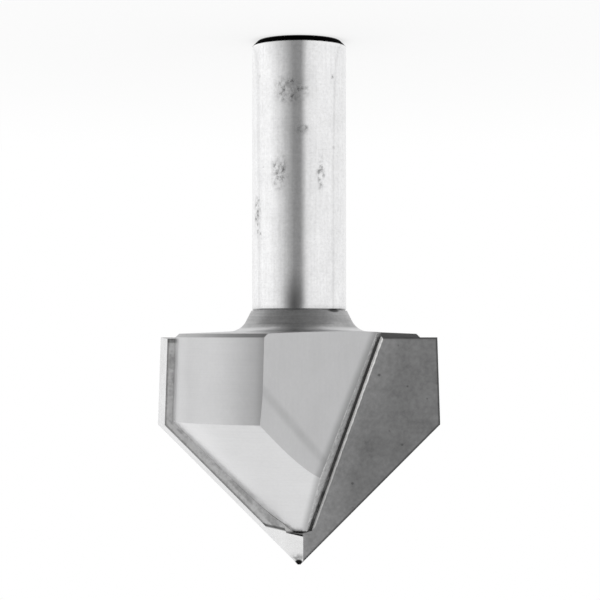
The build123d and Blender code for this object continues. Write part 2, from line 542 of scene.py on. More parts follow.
def mottle(tree, position, name):
    """The tone of one of the MOTTLES."""
    coarse_scale, coarse_depth, fine_scale, fine_depth = MOTTLES[name]
    return use_group(
        tree, "mottle", Position=position, Coarse_Scale=coarse_scale, Coarse_Depth=coarse_depth,
        Fine_Scale=fine_scale, Fine_Depth=fine_depth,
    )["Tone"]


def tool_marks(tree, position, name):
    """The tone and the height of one kind of TOOL_MARKS."""
    stretch, depth = TOOL_MARKS[name]
    return use_group(tree, "tool_marks", Position=position, Stretch=stretch, Depth=depth)


def pits(tree, position, name):
    """The mask of one kind of PITS."""
    per_millimetre, radius, kept = PITS[name]
    return use_group(
        tree, "pits", Position=position, Per_Millimetre=per_millimetre, Radius=radius, Share=kept
    )["Mask"]


def worn_edges(tree, position, radius, patchiness):
    """The normal and the mask of edges worn to a radius."""
    return use_group(tree, "worn_edges", Radius=radius, Position=position, Patchiness=patchiness)


# What every metal needs

def new_material(name, base):
    """A metal material with a Principled shader, ready for its nodes."""
    material = bpy.data.materials.new(name)
    material.use_nodes = True
    material.diffuse_color = rgba(base)
    shader = material.node_tree.nodes["Principled BSDF"]
    shader.inputs["Metallic"].default_value = 1.0
    return material, material.node_tree, shader


def millimetres(tree):
    """Object coordinates in millimetres."""
    place = node(tree, "TexCoord").outputs["Object"]
    made = node(tree, "VectorMath", {0: place, "Scale": 1.0 / MM}, operation="SCALE")
    return made.outputs["Vector"]


def set_surface(tree, shader, colour, roughness, **bump):
    """Links what changes over the surface to the shader. The keywords are inputs of a Bump node."""
    tree.links.new(colour, shader.inputs["Base Color"])
    tree.links.new(roughness, shader.inputs["Roughness"])
    tree.links.new(node(tree, "Bump", bump).outputs[0], shader.inputs["Normal"])


def uneven_roughness(tree, base, position, scale, depth):
    """A roughness with a noise on it, up and down by half the depth."""
    cloud = noise(tree, position, scale, 3.0)
    return calc(tree, "ADD", base, calc(tree, "MULTIPLY_ADD", cloud, depth, -depth / 2), clamp=True)


def dress(obj, material):
    """Gives every face of a piece one material."""
    obj.data.materials.clear()
    obj.data.materials.append(material)


def inner_edge_out(tree, height, inward=0.0):
    """How far out the inner edge of an insert lies at a height, in millimetres.

    The edge runs from the inner corner at the top of the insert straight toward the apex.
    Another line parallel to it is set inward from it along X.
    """
    start = (INNER_TOP_RADIUS + INSERT_TOP_Z * INNER_SLOPE - inward) / MM
    return calc(tree, "MULTIPLY_ADD", height, -INNER_SLOPE, start)


# Steel body

def wall_nearness(tree, parts, reach):
    """One on the gullet wall, and nought farther from it than reach, in millimetres.

    For each wing the wall is where the distance out along X equals the inner radius of the
    insert at that height, less the gap, less the draft times the depth from the seat. It
    counts only in front of the seat.
    """
    seat = SEAT_DEPTH / MM
    near = []
    for side in (1.0, -1.0):
        forward = product(tree, parts["Y"], side)
        drafted = product(tree, calc(tree, "ADD", forward, seat), WALL_DRAFT_SLOPE)
        wall = calc(tree, "SUBTRACT", inner_edge_out(tree, parts["Z"], SEAT_CORNER_GAP), drafted)
        away = calc(tree, "ABSOLUTE", calc(tree, "SUBTRACT", product(tree, parts["X"], side), wall))
        in_front = rise(tree, forward, -seat - 0.1, -seat + 0.1)
        near.append(product(tree, rise(tree, away, reach, 0.0), in_front))
    return highest(tree, *near)


def crease_distance(tree, position, height):
    """How far a point of a milled face is from the crease, in millimetres, on its side of the neck.

    The crease starts where the face meets the side of the head, below the corner, and leans
    toward the insert. The distance across it is the distance in from that start times the
    sine of the lean, less the distance above it times the cosine.
    """
    outward = vector(tree, "DOT_PRODUCT", position, GULLET_FACE_NORMAL)
    along = vector(tree, "DOT_PRODUCT", position, GULLET_FACE_ACROSS)
    along = product(tree, along, calc(tree, "SIGN", outward))
    reach = math.sqrt(BODY_RADIUS**2 - GULLET_FACE_DISTANCE**2)
    inward = calc(tree, "SUBTRACT", reach / MM, along)
    above = calc(tree, "SUBTRACT", height, (CORNER_Z - EASED_FACE_DROP) / MM)
    lowered = product(tree, above, -math.cos(EASED_FACE_LEAN))
    return calc(tree, "MULTIPLY_ADD", inward, math.sin(EASED_FACE_LEAN), lowered)


def near_place(tree, position, place, outside, inside):
    """One at a place on the shank, falling smoothly to nought at its edge.

    The place has the way it faces, its height, its half width and its half height. The
    distance from its middle is measured in those half sizes.
    """
    facing, height, half_width, half_height = place
    turn = math.radians(facing)
    middle = (math.sin(turn) * SHANK_RADIUS, -math.cos(turn) * SHANK_RADIUS, height)
    offset = vector(tree, "SUBTRACT", position, tuple(part / MM for part in middle))
    scaled = vector(tree, "MULTIPLY", offset, (MM / half_width, MM / half_width, MM / half_height))
    return rise(tree, vector(tree, "LENGTH", scaled), outside, inside)


def shank_finish(tree, finish, position, height, radius):
    """The ground shank: lines round it, faint streaks along it, stains, pits and a black chamfer.

    The chamfer is painted black as a dark reflection, and a band above it gets a painted
    highlight. Gives its colour, how dirty it is and the height of its lines.
    """
    rings = tool_marks(tree, position, "rings")
    streaks = tool_marks(tree, position, "streaks")
    clouds = mottle(tree, position, "shank")
    colour = toned(tree, finish.shank, rings["Tone"], streaks["Tone"], clouds)
    stains = highest(tree, *(near_place(tree, position, place, 1.25, 0.3) for place in SHANK_STAINS))
    specks = pits(tree, vector(tree, "MULTIPLY", position, (1.0, 1.0, 0.8)), "specks")
    smears = rise(tree, noise(tree, position, 1.5, 3.0, 0.6), 0.35, 0.75)
    stained = calc(tree, "MULTIPLY_ADD", smears, 0.42, product(tree, specks, 0.75))
    stained = calc(tree, "MULTIPLY", stains, stained, clamp=True)
    dirt = highest(tree, stained, product(tree, pits(tree, position, "lone_pits"), 0.6))
    colour = paint(tree, colour, dirt, "stain")
    # Heat tint and painted shade: a darker patch on the front of the shank beside the neck, and a thin
    # ring just below the neck.
    heat_and_shade = product(tree, near_place(tree, position, HEAT_AND_SHADE_MARK, 1.0, 0.0), 0.74)
    heat_and_shade = highest(tree, heat_and_shade, product(tree, rise(tree, height, *HEAT_AND_SHADE_RING), 0.16))
    colour = paint(tree, colour, heat_and_shade, "heat_and_shade")
    # A painted highlight: a brighter band on the shank just above the chamfer.
    colour = paint(tree, colour, band(tree, height, *SHANK_RIM_HIGHLIGHT), "shank_rim_highlight")
    # The chamfer is painted black: a painted dark reflection of the shaded floor at the end of the shank.
    chamfer = product(tree, rise(tree, height, *CHAMFER_FADE), rise(tree, radius, *CHAMFER_RADII))
    return mix(tree, chamfer, colour, finish.black), dirt, rings["Height"]


def head_finish(tree, finish, position, height, radius, face):
    """The head: turned lines on its side and cone, straight ones on the milled faces.

    The arris beside a milled face and the crease on it get painted shade, the chamfer round the
    top is painted dark as a reflection, and the end of the web is painted black as shade. Faces
    that look up are painted lighter, as light from above. Gives the colour and the height of the lines.
    """
    face_z = split(tree, face)["Z"]
    cloudy = mottle(tree, position, "head")
    turned_lines = tool_marks(tree, position, "turned")
    mill_lines = tool_marks(tree, position, "milled")
    # Faces that look up toward the point take the lighter cone grey: painted light from above.
    bare = mix(tree, rise(tree, face_z, 0.4, 0.6), finish.turned, finish.cone)
    colour = toned(tree, bare, cloudy, turned_lines["Tone"])
    straight = calc(tree, "ABSOLUTE", vector(tree, "DOT_PRODUCT", face, GULLET_FACE_NORMAL))
    milled = rise(tree, straight, 0.99, 0.9955)
    colour = mix(tree, milled, colour, toned(tree, finish.milled, cloudy, mill_lines["Tone"]))

    distance = calc(tree, "ABSOLUTE", vector(tree, "DOT_PRODUCT", position, GULLET_FACE_NORMAL))
    depth = calc(tree, "SUBTRACT", GULLET_FACE_DISTANCE / MM, distance)
    # Painted shade along the arris where the side of the head meets a milled face.
    arris = product(
        tree, rise(tree, depth, 1.1, 0.0), outside_of(tree, milled), rise(tree, height, *ARRIS_SHADE_END)
    )
    colour = paint(tree, colour, arris, "arris", finish.black)
    # Painted shade along the crease on the milled face.
    crease = band(tree, crease_distance(tree, position, height), -0.5, 0.4, 0.6, 1.5)
    patches = calc(tree, "MULTIPLY_ADD", noise(tree, position, 0.45, 2.0), 0.16, 0.05)
    colour = paint(tree, colour, product(tree, crease, milled, patches), "crease", finish.black)
    # The chamfer round the top of the head is painted darker as a reflection of the floor near it.
    top_chamfer = product(
        tree, band(tree, face_z, -0.9, -0.8, -0.65, -0.5), rise(tree, radius, *TOP_CHAMFER_RADII)
    )
    colour = paint(tree, colour, top_chamfer, "top_chamfer", finish.black)
    # The end of the web is painted black: painted shade under the heels of the inserts.
    colour = paint(tree, colour, rise(tree, height, *WEB_END_SHADE), "web_end", finish.black)
    return colour, mix_value(tree, milled, turned_lines["Height"], mill_lines["Height"])


def wall_finish(tree, finish, position, parts, face, head):
    """The wall beside an insert, laid over the colour of the head.

    It has milling lines across it, drops of brazing metal, a soft band of soot and painted shade
    along its edge, and painted shade on the seat. Gives the colour, where the wall is, and the
    height of its lines.
    """
    wall = wall_nearness(tree, parts, 0.06)
    lines = tool_marks(tree, position, "wall")
    drops = pits(tree, vector(tree, "MULTIPLY", position, (1.0, 0.2, 1.0)), "drops")
    dull_wall = toned(tree, finish.wall, lines["Tone"], mottle(tree, position, "wall"))
    colour = mix(tree, wall, head, mix(tree, drops, dull_wall, DROP_COLOUR))
    # Soot from brazing, and painted shade in the corner beside the wall.
    soot_and_shade = product(tree, wall_nearness(tree, parts, SOOT_AND_SHADE_REACH), outside_of(tree, wall))
    colour = paint(tree, colour, soot_and_shade, "soot_and_shade", finish.black)
    # Painted shade on the seat above the top of an insert.
    seat = product(tree, parts["Y"], calc(tree, "SIGN", parts["X"]))
    seat = calc(tree, "COMPARE", seat, -SEAT_DEPTH / MM, 0.02)
    flat = rise(tree, calc(tree, "ABSOLUTE", split(tree, face)["Y"]), 0.9, 0.98)
    return paint(tree, colour, product(tree, seat, flat), "seat"), wall, lines["Height"]


def steel_material(finish):
    """Ground shank, darkened neck, turned head and milled gullets, told apart by place and by face."""
    material, tree, shader = new_material("body_steel", finish.turned)
    position = millimetres(tree)
    parts = split(tree, position)
    height = parts["Z"]
    radius = vector(tree, "LENGTH", vector(tree, "MULTIPLY", position, (1.0, 1.0, 0.0)))
    face = node(tree, "NewGeometry").outputs["True Normal"]
    shank, dirt, shank_lines = shank_finish(tree, finish, position, height, radius)
    turning = tool_marks(tree, position, "neck")["Tone"]
    # Heat tint and a painted dark reflection make the neck darker than the head.
    neck = toned(tree, finish.neck, turning, mottle(tree, position, "neck"))
    head, head_lines = head_finish(tree, finish, position, height, radius, face)
    head, wall, wall_lines = wall_finish(tree, finish, position, parts, face, head)

    lower = mix(tree, rise(tree, height, *NECK_START), shank, neck)
    black_mark = near_place(tree, position, BLACK_MARK, 1.2, 0.5)
    lower = paint(tree, lower, black_mark, "black_mark", finish.black)
    colour = mix(tree, rise(tree, height, *HEAD_START), lower, head)
    worn = worn_edges(tree, position, 0.13 * MM, 0.6)
    # A painted highlight on rounded edges near the top of the head and near the end of the web.
    shine = product(tree, worn["Mask"], band(tree, height, *ARRIS_HIGHLIGHTS))
    colour = paint(tree, colour, shine, "arris_highlight")

    above_shank = rise(tree, height, *SHANK_END)
    smoothness = mix_value(tree, above_shank, finish.shank_roughness, finish.head_roughness)
    dulled = calc(tree, "ADD", smoothness, product(tree, dirt, 0.25))
    dulled = calc(tree, "MULTIPLY_ADD", wall, 0.15, dulled)
    roughness = uneven_roughness(tree, dulled, position, 1.1, 0.12)

    relief = mix_value(tree, above_shank, shank_lines, head_lines)
    relief = calc(tree, "MULTIPLY_ADD", dirt, -1.2, relief)
    relief = calc(tree, "MULTIPLY_ADD", product(tree, wall_lines, wall), 2.0, relief)
    set_surface(
        tree, shader, colour, roughness,
        Height=relief, Normal=worn["Normal"], Strength=0.12, Distance=0.02 * MM,
    )
    return material


class ROUTERBIT_OT_steel_body(bpy.types.Operator):
    """Finish the steel body: ground shank, dark neck, turned and milled head"""

    bl_idname = "routerbit.steel_body"
    bl_label = "Steel body"

    def execute(self, context):
        make_groups()
        dress(STEEL, steel_material(context.scene.router_steel))
        return {"FINISHED"}


# Carbide inserts

def inner_edge_distance(tree, parts):
    """How far a point is from the inner edge of its insert, in millimetres, square to the edge."""
    out = calc(tree, "ABSOLUTE", parts["X"])
    past = calc(tree, "SUBTRACT", out, inner_edge_out(tree, parts["Z"]))
    return product(tree, past, 1.0 / math.hypot(1.0, INNER_SLOPE))


def outer_edge_distance(tree, parts, side_offset, slant_offset):
    """How far a point is inside the side, the slant and the top of an insert, in millimetres.

    The least of the three counts. Each offset is how far its own edge is set in from the
    cutting edge, as the back's edges are.
    """
    out = calc(tree, "ABSOLUTE", parts["X"])
    above_corner = calc(tree, "SUBTRACT", CORNER_Z / MM, parts["Z"])
    side = calc(tree, "MULTIPLY_ADD", above_corner, -SIDE_TAPER, CUTTING_RADIUS / MM - side_offset)
    to_side = calc(tree, "SUBTRACT", side, out)
    to_top = calc(tree, "SUBTRACT", parts["Z"], INSERT_TOP_Z / MM)
    to_apex = calc(tree, "SUBTRACT", calc(tree, "SUBTRACT", APEX_Z / MM, parts["Z"]), out)
    to_slant = calc(tree, "MULTIPLY_ADD", to_apex, math.sqrt(0.5), -slant_offset)
    return combine(tree, "MINIMUM", (to_side, to_top, to_slant))


def back_edge_distance(tree, parts):
    """How far a point on the back of an insert is past the edge of the steel, in millimetres."""
    out = calc(tree, "ABSOLUTE", parts["X"])
    past_side = calc(tree, "SUBTRACT", out, BODY_RADIUS / MM)
    past_apex = calc(tree, "SUBTRACT", calc(tree, "ADD", parts["Z"], out), APEX_Z / MM)
    past_slant = calc(tree, "MULTIPLY_ADD", past_apex, math.sqrt(0.5), BODY_POINT_OFFSET / MM)
    return highest(tree, past_side, past_slant)


def point_facet_rise(tree, parts):
    """How far a point is above the back edge of the facet ground at the point, in millimetres.

    Along that edge the height falls from the blunted apex by the thickness of the insert
    times the cosine of the facet's turn, plus the distance out times its sine, and both
    divided by the tangent of its fall.
    """
    fall = math.tan(POINT_RELIEF_FALL)
    behind = INSERT_THICKNESS * math.cos(POINT_RELIEF_TURN) / fall
    edge = calc(
        tree, "MULTIPLY_ADD", calc(tree, "ABSOLUTE", parts["X"]), -math.sin(POINT_RELIEF_TURN) / fall,
        (APEX_Z - POINT_BLUNTING - behind) / MM,
    )
    return calc(tree, "SUBTRACT", parts["Z"], edge)


def face_spot(tree, position, out, height, size):
    """One at a dark spot on each cutting face, at a distance out from the axis and a height."""
    folded = vector(tree, "ABSOLUTE", position)
    spot = vector(tree, "DISTANCE", folded, (out, 0.0, height))
    return rise(tree, spot, size * 1.3, size * 0.5)


def near_tip(tree, position, below, outside, inside):
    """One round a point on the axis below the apex, falling to nought. Lengths in millimetres."""
    away = vector(tree, "DISTANCE", position, (0.0, 0.0, APEX_Z / MM - below))
    return rise(tree, away, outside, inside)


def along_slant(tree, position):
    """The position turned half a right angle in XZ, so that lines run along a cutting edge."""
    return node(
        tree, "VectorRotate", {"Vector": position, "Angle": math.radians(45.0)}, rotation_type="Y_AXIS"
    ).outputs[0]


def cutting_face_colour(tree, finish, position, parts, grinding, pores):
    """The sintered cutting face, paler beside the groove and at the point, with a dark outline."""
    to_groove = rise(tree, inner_edge_distance(tree, parts), 4.5, 0.3)
    colour = toned(
        tree, finish.face, mottle(tree, position, "cutting_face"), grinding["Tone"],
        calc(tree, "MULTIPLY_ADD", to_groove, 0.28, 0.93),
        calc(tree, "MULTIPLY_ADD", rise(tree, parts["Z"], *FACE_PALING), 0.22, 1.0),
    )
    outline = rise(tree, outer_edge_distance(tree, parts, 0.0, 0.0), 0.34, 0.10)
    colour = paint(tree, colour, outline, "face_outline")
    return paint(tree, colour, pores, "pore")


def back_colour(tree, finish, position, parts):
    """The speckled back, darker along its own edges, beside the steel and at the top."""
    outside = outer_edge_distance(tree, parts, INSERT_SIDE_RELIEF / MM, INSERT_POINT_RELIEF / MM)
    beside_steel = product(
        tree, rise(tree, back_edge_distance(tree, parts), 0.34, 0.10),
        rise(tree, noise(tree, position, 0.6, 3.0), 0.38, 0.62),
    )
    darkened = (
        (rise(tree, outside, 0.36, 0.10), 0.44),
        (beside_steel, 0.30),
        (rise(tree, parts["Z"], *TOP_PATCH), 0.50),
    )
    tones = [calc(tree, "MULTIPLY_ADD", mask, -depth, 1.0) for mask, depth in darkened]
    return toned(tree, finish.back, mottle(tree, position, "back"), *tones)


def ground_colour(tree, finish, position, parts, face_z, grinding, facet):
    """The ground relief behind the edges, grey on top where it isn't ground, and the facet."""
    fine = mottle(tree, position, "ground")
    colour = toned(tree, finish.ground, fine, grinding["Tone"])
    unground = product(tree, rise(tree, face_z, -0.2, -0.35), rise(tree, parts["Z"], *UNGROUND_END))
    colour = paint(tree, colour, unground, "unground")
    patches = rise(tree, noise(tree, position, 1.7, 3.0), 0.36, 0.6)
    dull_tip = product(tree, near_tip(tree, position, 0.9, 1.7, 0.5), patches)
    return mix(tree, facet, colour, paint(tree, toned(tree, finish.point, fine), dull_tip, "dull_tip"))


def carbide_material(finish):
    """Sintered carbide: mottled cutting face and back, bright ground relief behind the edges."""
    material, tree, shader = new_material("carbide", finish.face)
    position = millimetres(tree)
    parts = split(tree, position)
    face = split(tree, node(tree, "NewGeometry").outputs["True Normal"])

    # A cutting face looks away from the back of its own wing: Y times X is above nought there.
    facing = product(tree, face["Y"], calc(tree, "SIGN", parts["X"]))
    cutting_face = rise(tree, facing, 0.97, 0.99)
    back = rise(tree, facing, -0.97, -0.99)
    facet = band(tree, face["Z"], 0.35, 0.45, 0.6, 0.66)
    grinding = tool_marks(tree, along_slant(tree, position), "ground")
    pores = pits(tree, position, "pores")
    dark_face = cutting_face_colour(tree, finish, position, parts, grinding, pores)
    colour = ground_colour(tree, finish, position, parts, face["Z"], grinding, facet)
    colour = mix(tree, cutting_face, colour, dark_face)
    colour = mix(tree, back, colour, back_colour(tree, finish, position, parts))
    facet_line = band(tree, point_facet_rise(tree, parts), -0.4, -0.15, 0.02, 0.2)
    facet_line = product(tree, facet_line, highest(tree, back, facet))
    colour = paint(tree, colour, facet_line, "facet_line")

    plain = highest(tree, cutting_face, back)
    worn = worn_edges(tree, position, 0.07 * MM, 0.5)
    colour = paint(tree, colour, product(tree, worn["Mask"], plain), "insert_edge")
    for out, height, size, strength in FACE_SPOTS:
        spot = product(tree, face_spot(tree, position, out, height, size), cutting_face, strength)
        colour = paint(tree, colour, spot, "face_spot")
    colour = paint(tree, colour, near_tip(tree, position, 0.55, 0.72, 0.42), "burnt_tip")

    smoothness = mix_value(tree, plain, finish.roughness - 0.12, finish.roughness)
    roughness = uneven_roughness(tree, smoothness, position, 1.4, 0.14)
    grain = calc(tree, "MULTIPLY_ADD", plain, 1.15, 0.05)
    grain = product(tree, noise(tree, position, 3.5, 3.0, 0.6), grain)
    relief = calc(tree, "ADD", grain, calc(tree, "MULTIPLY_ADD", pores, -1.5, grinding["Height"]))
    set_surface(
        tree, shader, colour, roughness,
        Height=relief, Normal=worn["Normal"], Strength=0.15, Distance=0.02 * MM,
    )
    return material


class ROUTERBIT_OT_carbide_inserts(bpy.types.Operator):
    """Finish both carbide inserts"""

    bl_idname = "routerbit.carbide_inserts"
    bl_label = "Carbide inserts"

    def execute(self, context):
        make_groups()
        material = carbide_material(context.scene.router_carbide)
        for name in ("carbide_insert_a", "carbide_insert_b"):
            dress(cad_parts[name], material)
        return {"FINISHED"}


# Brazing metal

def braze_material(name, bare, finish):
    """Brazing metal, which is bare in the bead and the fills and blackened by flux in the groove."""
    own = finish.silver if bare else finish.groove
    material, tree, shader = new_material(name, own)
    position = millimetres(tree)
    height = split(tree, position)["Z"]
    patches = mottle(tree, position, "braze")
    colour = toned(tree, own, patches)
    if bare:
        colour = paint(tree, colour, rise(tree, height, *BEAD_DULLING), "dull_bead")
        # The fills are painted dark where they meet the end of the web: painted shade under the heel.
        colour = paint(tree, colour, rise(tree, height, *FILL_SHADE), "fill_shade", finish.groove)
    else:
        broken = rise(tree, noise(tree, position, 0.7, 2.0), 0.42, 0.62)
        broken = product(tree, broken, rise(tree, height, *GROOVE_BARING))
        colour = paint(tree, colour, broken, "bared_groove")
    roughness = calc(tree, "MULTIPLY_ADD", patches, 0.15, 0.4)
    set_surface(tree, shader, colour, roughness, Height=patches, Strength=0.3, Distance=0.03 * MM)
    return material


def add_object(name, data):
    """An object in the scene, with its data."""
    obj = bpy.data.objects.new(name, data)
    bpy.context.scene.collection.objects.link(obj)
    return obj


def add_mesh(name, points, faces):
    """A mesh object from an array of points and a list of faces."""
    mesh = bpy.data.meshes.new(name)
    mesh.from_pydata(points.reshape(-1, 3).tolist(), [], faces)
    mesh.update()
    return add_object(name, mesh)


def closed_tube(name, centres, across, outward, half_widths, half_heights, sides):
    """A closed tube carried along a path.

    Round each centre the ring is an ellipse: across times the half width times the cosine,
    plus outward times the half height times the sine. A point closes each end.
    """
    turn = np.linspace(0.0, 2.0 * math.pi, sides, endpoint=False)
    rings = (
        centres[:, None, :]
        + across * (half_widths[:, None, None] * np.cos(turn)[None, :, None])
        + outward * (half_heights[:, None, None] * np.sin(turn)[None, :, None])
    )
    count = len(centres)
    points = np.vstack([rings.reshape(-1, 3), centres[:1], centres[-1:]])
    row, column = np.meshgrid(np.arange(count - 1), np.arange(sides), indexing="ij")
    after = (column + 1) % sides
    quads = np.stack(
        [row * sides + column, row * sides + after, (row + 1) * sides + after, (row + 1) * sides + column],
        axis=-1,
    ).reshape(-1, 4)
    around = np.arange(sides)
    last = (count - 1) * sides
    start_fan = np.stack([(around + 1) % sides, around, np.full(sides, count * sides)], axis=-1)
    end_fan = np.stack(
        [last + around, last + (around + 1) % sides, np.full(sides, count * sides + 1)], axis=-1
    )
    tube = add_mesh(name, points, quads.tolist() + start_fan.tolist() + end_fan.tolist())
    tube.data.shade_smooth()
    return tube


def inner_radius(height):
    """How far out the inner edge of an insert lies at a height: its top radius less the slope."""
    return INNER_TOP_RADIUS - (height - INSERT_TOP_Z) * INNER_SLOPE


def bead(name, side, finish):
    """The bead of brazing metal along the inner edge of one cutting face.

    Its middle follows the inner edge, set in by seven tenths of its half width, so that it
    laps over the edge. The half width falls toward the point and swells and thins by two
    slow waves.
    """
    steps = 360
    along = np.linspace(0.0, 1.0, steps)
    low = INSERT_TOP_Z - 0.1 * MM
    high = HEEL_Z - 0.3 * MM
    z = low + (high - low) * along
    wave = 1.0 + 0.05 * np.sin(along * 61.0) + 0.04 * np.sin(along * 143.0 + 1.0)
    closing = np.sqrt(np.clip(np.minimum(along, 1.0 - along) / 0.01, 0.0, 1.0))
    half_width = finish.bead_width / 2 * (1.0 - 0.3 * along) * wave * closing
    slant = math.hypot(1.0, INNER_SLOPE)
    offset = 0.7 * half_width
    centres = np.stack(
        [side * (inner_radius(z) + offset / slant), np.zeros(steps), z + offset * INNER_SLOPE / slant],
        axis=-1,
    )
    across = np.array([side / slant, 0.0, INNER_SLOPE / slant])
    outward = np.array([0.0, side, 0.0])
    half_height = finish.bead_height * wave * closing
    return closed_tube(name, centres, across, outward, half_width, half_height, 16)


def heel_fill(name, side):
    """Brazing metal in the wedge between the end of the steel web and the heel of an insert.

    At each distance out along X the wedge is open from the height of the web's end to the
    height of the heel, which rises in a straight line to the nose. The ring's middle is
    halfway up, its half height is half the opening plus a lap, and its half width is even.
    Along Y the ring covers four fifths of the depth of the seat.
    """
    lap = 0.03 * MM
    heel_out = inner_radius(HEEL_Z)
    out = np.linspace(lap - INSERT_OVERLAP, heel_out, FILL_STEPS)
    roof_z = HEEL_Z + (NOSE_Z - HEEL_Z) * (heel_out - out) / (heel_out + INSERT_OVERLAP)
    middle = np.full(FILL_STEPS, -side * SEAT_DEPTH * 0.44)
    centres = np.stack([side * out, middle, (WEB_END_Z + roof_z) / 2], axis=-1)
    half_width = np.full(FILL_STEPS, SEAT_DEPTH * 0.4)
    half_height = (roof_z - WEB_END_Z) / 2 + lap
    across = np.array([0.0, side, 0.0])
    outward = np.array([0.0, 0.0, 1.0])
    return closed_tube(name, centres, across, outward, half_width, half_height, FILL_SIDES)


def corner_fill(name, side):
    """Brazing metal in the corner between the cone of the steel web and the side of an insert.

    It is a flat lens that opens like a fan. The fan starts where the cone reaches the back
    edge of the insert. One side of it follows that edge to the heel, and the other runs over
    the cone to the end of the web, three tenths of the cone's radius out along X. The half
    width and the half thickness grow in proportion to the distance along.
    """
    heights = np.linspace(WEB_END_Z - 3.0 * MM, WEB_END_Z, 400)
    cone = APEX_Z - BODY_POINT_OFFSET * math.sqrt(2.0) - heights
    first = np.argmax(cone < np.hypot(inner_radius(heights), INSERT_THICKNESS))
    foot = np.array([inner_radius(heights[first]), -INSERT_THICKNESS, heights[first]])
    heel = np.array([inner_radius(HEEL_Z), -INSERT_THICKNESS, HEEL_Z])
    reach = cone[-1] * 0.3
    end = np.array([reach, -math.sqrt(cone[-1] ** 2 - reach**2), heights[-1]])
    half_turn = np.array([side, side, 1.0])
    path = ((heel + end) / 2 - foot) * half_turn
    span = (end - heel) * half_turn
    along = np.linspace(0.02, 1.0, FILL_STEPS)
    outward = np.cross(path, span)
    return closed_tube(
        name, foot * half_turn + along[:, None] * path, span / np.linalg.norm(span),
        outward / np.linalg.norm(outward), along * np.linalg.norm(span) / 2, along * 0.1 * MM, FILL_SIDES,
    )


class ROUTERBIT_OT_brazing(bpy.types.Operator):
    """Blacken the braze grooves, and lay a bead along each insert and two fills at its heel"""

    bl_idname = "routerbit.brazing"
    bl_label = "Brazing"

    def execute(self, context):
        make_groups()
        finish = context.scene.router_braze
        groove = braze_material("braze_groove", False, finish)
        silver = braze_material("braze_bead", True, finish)
        for letter, side in (("a", -1.0), ("b", 1.0)):
            dress(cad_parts["braze_seam_" + letter], groove)
            bright = bead("braze_bead_" + letter, side, finish)
            fill = heel_fill("heel_fill_" + letter, side)
            corner = corner_fill("corner_fill_" + letter, side)
            for piece in (bright, fill, corner):
                dress(piece, silver)
                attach(piece, BODY)
        return {"FINISHED"}


# Stage

def turned_sheet(name, radii, heights):
    """A surface of revolution about the Z axis.

    Its profile is a list of radii and heights, and each point of it goes round in a circle.
    """
    turn = np.linspace(0.0, 2.0 * math.pi, 97)
    radius, around = np.meshgrid(np.asarray(radii), turn, indexing="ij")
    height = np.repeat(np.asarray(heights)[:, None], len(turn), axis=1)
    points = np.stack([radius * np.cos(around), radius * np.sin(around), height], axis=-1)
    row, column = np.meshgrid(np.arange(len(radii) - 1), np.arange(len(turn) - 1), indexing="ij")
    first = row * len(turn) + column
    above = first + len(turn)
    quads = np.stack([first, first + 1, above + 1, above], axis=-1).reshape(-1, 4)
    return add_mesh(name, points, quads.tolist())


def bare_material(name):
    """A material with no node in it yet, and its tree."""
    material = bpy.data.materials.new(name)
    material.use_nodes = True
    material.node_tree.nodes.clear()
    return material, material.node_tree


def tent_levels(tree, stops):
    """A grey that changes smoothly through the given stops, each an angle and a level.

    The angle is the way a point lies from the axis, in degrees from the camera toward +X.
    """
    place = split(tree, node(tree, "TexCoord").outputs["Object"])
    turn = calc(tree, "ARCTAN2", place["X"], product(tree, place["Y"], -1.0))
    ramp = node(tree, "ValToRGB", {0: calc(tree, "MULTIPLY_ADD", turn, 0.5 / math.pi, 0.5)})
    ramp.color_ramp.interpolation = "EASE"
    points = ramp.color_ramp.elements
    while len(points) < len(stops):
        points.new(0.5)
    for point, (facing, level) in zip(points, stops):
        point.position = facing / 360.0 + 0.5
        point.color = rgba(level)
    return ramp.outputs[0]


def tent_material(name, level, stops=None, stops_from_above=None):
    """Light cloth that only the metal mirrors, at one level or at levels given by direction.

    It may have other levels where it is seen from above.
    """
    material, tree = bare_material(name)
    colour = tent_levels(tree, stops) if stops else rgba(level)
    if stops_from_above:
        slant = node(tree, "LayerWeight", {"Blend": 0.5}).outputs["Facing"]
        colour = mix(tree, rise(tree, slant, 0.35, 0.65), tent_levels(tree, stops_from_above), colour)
    light = node(tree, "Emission", {"Color": colour, "Strength": 1.0}).outputs[0]
    node(tree, "OutputMaterial", {"Surface": light})
    return material


def floor_material(floor):
    """A pale matt floor. The camera and the metal see it close to white, with the bit's shadow."""
    material, tree = bare_material("floor")
    matt = node(tree, "BsdfDiffuse", {"Color": rgba(floor)}).outputs[0]
    white = node(tree, "Emission", {"Color": rgba(1.0), "Strength": 1.0}).outputs[0]
    path = node(tree, "LightPath").outputs
    seen = highest(tree, path["Is Camera Ray"], path["Is Glossy Ray"], path["Is Transmission Ray"])
    away = vector(tree, "LENGTH", node(tree, "TexCoord").outputs["Object"])
    whiteness = mix_value(tree, rise(tree, away, *SHADOW_FADE), SHADOW_WHITENESS, 1.0)
    shader = node(tree, "MixShader", {0: product(tree, seen, whiteness), 1: matt, 2: white})
    node(tree, "OutputMaterial", {"Surface": shader.outputs[0]})
    return material


def turned_to(name, data, place, aim, roll=0.0):
    """A lamp or a camera at a place, turned toward a point and rolled about its own view."""
    made = add_object(name, data)
    made.location = place
    made.rotation_mode = "QUATERNION"
    upright = (Vector(aim) - Vector(place)).to_track_quat("-Z", "Y")
    made.rotation_quaternion = upright @ Quaternion((0.0, 0.0, 1.0), roll)
    return made


def add_top_lamp(power):
    """A square soft lamp above the bit."""
    data = bpy.data.lights.new("top_lamp", "AREA")
    data.shape = "SQUARE"
    data.size = 0.5
    data.energy = power
    turned_to("top_lamp", data, (0.0, 0.05, 0.55), (0.0, 0.0, 0.04))


